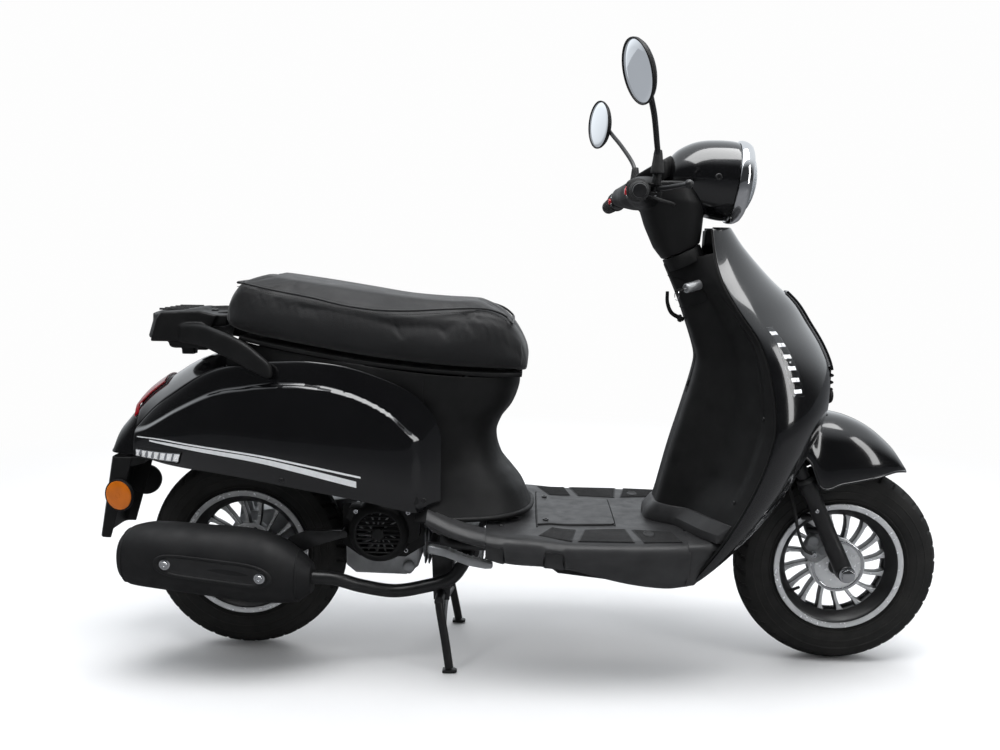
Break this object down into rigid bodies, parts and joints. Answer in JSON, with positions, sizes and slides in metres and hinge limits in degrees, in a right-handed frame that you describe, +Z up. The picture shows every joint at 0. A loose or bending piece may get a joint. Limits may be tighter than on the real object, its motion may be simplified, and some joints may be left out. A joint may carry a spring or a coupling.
{
  "type": "moped scooter",
  "caption": "Step-through moped scooter with leg shield, stepped seat, rear grab rack, swinging engine unit with right-hand exhaust, cast wheels and centre stand.",
  "frame": {"origin": "on the ground, under the middle of the overall length and on the centre plane", "axes": "+X forward, +Y to the rider's left, +Z up"},
  "size_m": [1.8127, 0.8113, 1.246],
  "materials": {
    "black_metal": "semi-gloss black paint",
    "satin_black": "fine-grained moulded plastic",
    "gloss_black": "polished black paint",
    "clear_lens": "clear moulded lens",
    "polished_metal": "polished",
    "red_lens": "red moulded lens",
    "seat_vinyl": "stitched vinyl over foam",
    "cast_aluminium": "cast, satin",
    "black_rubber": "moulded rubber",
    "rim_black": "black with machined edges",
    "red_button": "red moulded button",
    "grip_rubber": "ribbed rubber"
  },
  "bodies": {
    "chassis": {"main_frame": "black_metal", "floorboard": "satin_black", "floor_hatch": "satin_black", "belly_pan": "satin_black", "front_apron": "gloss_black", "front_light_right": "clear_lens", "front_light_left": "clear_lens", "apron_trim": "gloss_black", "inner_leg_shield": "satin_black", "bag_hook": "satin_black", "seat_cowl": "satin_black", "luggage_bucket": "satin_black", "fuel_tank": "satin_black", "side_panel_right": "gloss_black", "side_panel_left": "gloss_black", "tail_cowl": "gloss_black", "tail_light": "red_lens", "rear_mudguard": "satin_black", "rear_rack": "satin_black"},
    "seat": {"seat_cushion": "seat_vinyl", "seat_pan": "satin_black"},
    "front_end": {"fork_stem": "black_metal", "front_fender": "gloss_black", "handlebar": "black_metal", "handlebar_cover": "satin_black", "headlight_shell": "gloss_black", "headlight_bezel": "polished_metal", "headlight_lens": "clear_lens", "instrument_cluster": "satin_black", "switch_left": "satin_black", "switch_right": "satin_black", "left_grip": "grip_rubber"},
    "fork_lower": {"fork_slider_right": "black_metal", "fork_slider_left": "black_metal", "front_axle": "polished_metal", "brake_caliper": "cast_aluminium"},
    "front_wheel": {"front_tyre": "black_rubber", "front_rim": "rim_black", "brake_disc": "polished_metal"},
    "throttle": {"throttle_grip": "grip_rubber"},
    "lever_right": {"brake_lever_right": "black_metal"},
    "lever_left": {"brake_lever_left": "black_metal"},
    "mirror_r": {"mirror_right": "black_metal"},
    "mirror_l": {"mirror_left": "black_metal"},
    "starter": {"starter_button": "red_button"},
    "horn": {"horn_button": "red_button"},
    "key": {"ignition_key": "polished_metal"},
    "engine_unit": {"cvt_cover": "cast_aluminium", "crankcase": "cast_aluminium", "cylinder": "cast_aluminium", "fan_cover": "satin_black", "exhaust": "black_metal"},
    "rear_wheel": {"rear_tyre": "black_rubber", "rear_rim": "rim_black"},
    "kick": {"kick_lever": "black_metal"},
    "damper": {"shock_damper": "black_metal"},
    "damper_rod": {"shock_rod": "polished_metal"},
    "stand": {"center_stand": "black_metal"},
    "peg_right": {"footpeg_right": "cast_aluminium"},
    "peg_left": {"footpeg_left": "cast_aluminium"}
  },
  "joints": [
    {"name": "steering", "type": "hinge", "parent": "chassis", "child": "front_end", "pos_m": [0.347, 0, 0.9], "axis": [-0.4226, 0, 0.9063], "range_deg": [-38, 38]},
    {"name": "fork_travel", "type": "slide", "parent": "front_end", "child": "fork_lower", "axis": [-0.4226, 0, 0.9063], "range_m": [0, 0.06], "stiffness_N_per_m": 9000, "springref_m": -0.06},
    {"name": "front_wheel_spin", "type": "hinge", "parent": "fork_lower", "child": "front_wheel", "pos_m": [0.695, 0, 0.216], "axis": [0, 1, 0], "continuous": true},
    {"name": "throttle_twist", "type": "hinge", "parent": "front_end", "child": "throttle", "pos_m": [0.224, -0.16, 1.001], "axis": [-0.0819, -0.9942, -0.0702], "range_deg": [0, 80], "stiffness_Nm_per_rad": 0.15, "springref_deg": -17.19},
    {"name": "brake_lever_right_pull", "type": "hinge", "parent": "front_end", "child": "lever_right", "pos_m": [0.256, -0.186, 1.001], "axis": [0, 0, -1], "range_deg": [0, 16], "stiffness_Nm_per_rad": 2, "springref_deg": -8.59},
    {"name": "brake_lever_left_pull", "type": "hinge", "parent": "front_end", "child": "lever_left", "pos_m": [0.256, 0.186, 1.001], "axis": [0, 0, 1], "range_deg": [0, 16], "stiffness_Nm_per_rad": 2, "springref_deg": -8.59},
    {"name": "mirror_right_turn", "type": "hinge", "parent": "front_end", "child": "mirror_r", "pos_m": [0.258, -0.19, 1.046], "axis": [0, 0, 1], "range_deg": [-30, 30]},
    {"name": "mirror_left_turn", "type": "hinge", "parent": "front_end", "child": "mirror_l", "pos_m": [0.258, 0.19, 1.046], "axis": [0, 0, 1], "range_deg": [-30, 30]},
    {"name": "starter_press", "type": "slide", "parent": "front_end", "child": "starter", "axis": [1, 0, 0], "range_m": [0, 0.0025], "stiffness_N_per_m": 600, "springref_m": -0.002},
    {"name": "horn_press", "type": "slide", "parent": "front_end", "child": "horn", "axis": [1, 0, 0], "range_m": [0, 0.0025], "stiffness_N_per_m": 600, "springref_m": -0.002},
    {"name": "ignition_turn", "type": "hinge", "parent": "chassis", "child": "key", "pos_m": [0.352, -0.062, 0.812], "axis": [-0.8602, -0.4601, -0.22], "range_deg": [-90, 0]},
    {"name": "seat_lift", "type": "hinge", "parent": "chassis", "child": "seat", "pos_m": [0.014, 0, 0.626], "axis": [0, 1, 0], "range_deg": [0, 62]},
    {"name": "engine_swing", "type": "hinge", "parent": "chassis", "child": "engine_unit", "pos_m": [-0.165, 0, 0.318], "axis": [0, 1, 0], "range_deg": [0, 7], "stiffness_Nm_per_rad": 3500, "springref_deg": -3.44},
    {"name": "rear_wheel_spin", "type": "hinge", "parent": "engine_unit", "child": "rear_wheel", "pos_m": [-0.592, 0, 0.219], "axis": [0, 1, 0], "continuous": true},
    {"name": "kick_start", "type": "hinge", "parent": "engine_unit", "child": "kick", "pos_m": [-0.33, 0.15, 0.214], "axis": [0, -1, 0], "range_deg": [0, 60], "stiffness_Nm_per_rad": 6, "springref_deg": -14.32},
    {"name": "damper_tilt", "type": "hinge", "parent": "chassis", "child": "damper", "pos_m": [-0.575, 0.092, 0.575], "axis": [0, 1, 0], "range_deg": [0, 2]},
    {"name": "damper_stroke", "type": "slide", "parent": "damper", "child": "damper_rod", "axis": [0.1799, 0, 0.9837], "range_m": [0, 0.0556]},
    {"name": "stand_fold", "type": "hinge", "parent": "chassis", "child": "stand", "pos_m": [-0.16, 0, 0.145], "axis": [0, 1, 0], "range_deg": [0, 72]},
    {"name": "footpeg_right_fold", "type": "hinge", "parent": "chassis", "child": "peg_right", "pos_m": [-0.166, -0.189, 0.284], "axis": [0, 0, -1], "range_deg": [0, 90]},
    {"name": "footpeg_left_fold", "type": "hinge", "parent": "chassis", "child": "peg_left", "pos_m": [-0.166, 0.189, 0.284], "axis": [0, 0, 1], "range_deg": [0, 90]}
  ],
  "couplings": [
    {"joint": "damper_tilt", "follows": "engine_swing", "ratio": 0.2653},
    {"joint": "damper_stroke", "follows": "engine_swing", "m_per_rad": 0.4528}
  ]
}
